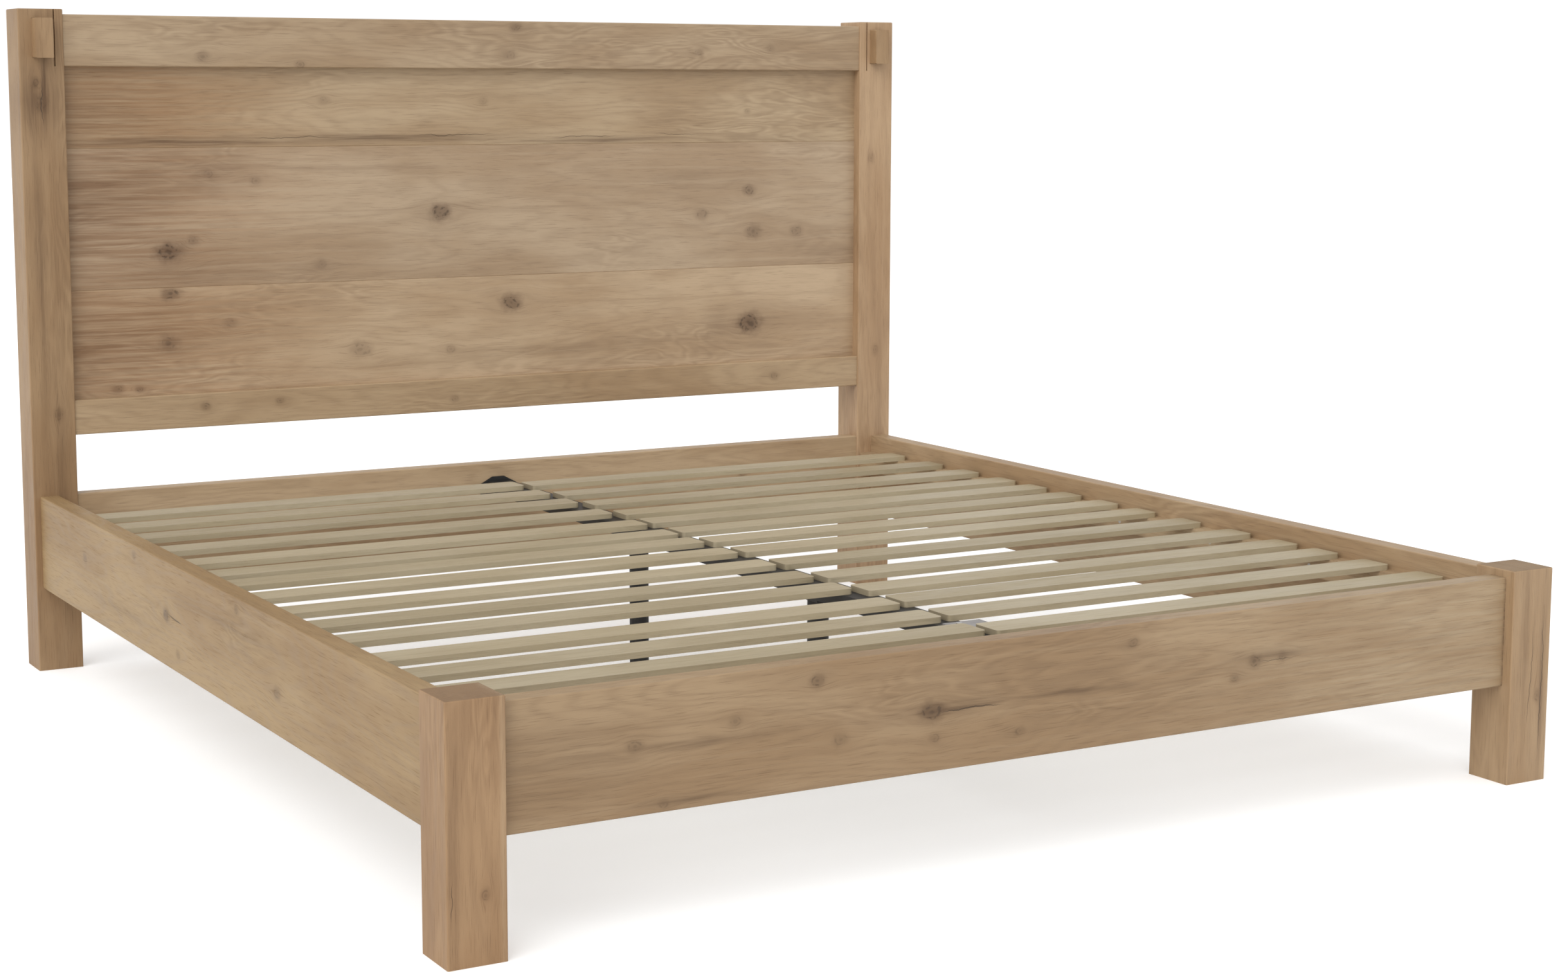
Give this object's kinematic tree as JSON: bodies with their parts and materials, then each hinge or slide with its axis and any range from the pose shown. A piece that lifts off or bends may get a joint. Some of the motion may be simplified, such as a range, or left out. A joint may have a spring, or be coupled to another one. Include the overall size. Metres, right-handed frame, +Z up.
{
  "type": "bed frame",
  "caption": "Rustic wooden king-size bed frame with a tall panelled headboard, pegged posts, deep rails and two rows of slats on a steel centre rail.",
  "frame": {"origin": "on the floor under the middle of the bed's outline", "axes": "+X to the right seen from the foot end, +Y towards the headboard, +Z up"},
  "size_m": [2.032, 2.184, 1.325],
  "materials": {
    "post_oak": "oiled satin, rustic grain with knots",
    "peg_oak": "oiled satin",
    "rail_oak": "oiled satin, rustic grain with knots",
    "panel_oak": "oiled satin, rustic grain with knots",
    "ledge_pine": "planed, unfinished",
    "slat_birch": "pale laminated strip, matt",
    "black_steel": "black powder coat",
    "grey_steel": "grey powder coat",
    "zinc_steel": "zinc plated",
    "glide_plastic": "matt"
  },
  "bodies": {
    "root": {"head_post_left": "post_oak", "foot_leg_left": "post_oak", "headboard_peg_left": "peg_oak", "side_rail_left": "rail_oak", "slat_ledge_left": "ledge_pine", "slat_left_01": "slat_birch", "slat_left_02": "slat_birch", "slat_left_03": "slat_birch", "slat_left_04": "slat_birch", "slat_left_05": "slat_birch", "slat_left_06": "slat_birch", "slat_left_07": "slat_birch", "slat_left_08": "slat_birch", "slat_left_09": "slat_birch", "slat_left_10": "slat_birch", "slat_left_11": "slat_birch", "slat_left_12": "slat_birch", "slat_left_13": "slat_birch", "slat_left_14": "slat_birch", "head_post_right": "post_oak", "foot_leg_right": "post_oak", "headboard_peg_right": "peg_oak", "side_rail_right": "rail_oak", "slat_ledge_right": "ledge_pine", "slat_right_01": "slat_birch", "slat_right_02": "slat_birch", "slat_right_03": "slat_birch", "slat_right_04": "slat_birch", "slat_right_05": "slat_birch", "slat_right_06": "slat_birch", "slat_right_07": "slat_birch", "slat_right_08": "slat_birch", "slat_right_09": "slat_birch", "slat_right_10": "slat_birch", "slat_right_11": "slat_birch", "slat_right_12": "slat_birch", "slat_right_13": "slat_birch", "slat_right_14": "slat_birch", "headboard_top_rail": "rail_oak", "headboard_lower_rail": "rail_oak", "head_cross_rail": "rail_oak", "foot_rail": "rail_oak", "headboard_plank_lower": "panel_oak", "headboard_plank_middle": "panel_oak", "headboard_plank_upper": "panel_oak", "centre_rail": "black_steel", "centre_rail_bracket_foot": "black_steel", "centre_rail_bracket_head": "black_steel", "centre_leg_foot": "black_steel", "centre_leg_head": "black_steel", "leg_glide_foot": "glide_plastic", "leg_glide_head": "glide_plastic", "centre_rail_tie_plate": "grey_steel", "ledge_screws": "zinc_steel", "centre_rail_bolts": "zinc_steel", "post_keeper_plates": "zinc_steel", "rail_hook_plates": "zinc_steel", "plate_screws": "zinc_steel"}
  },
  "joints": []
}
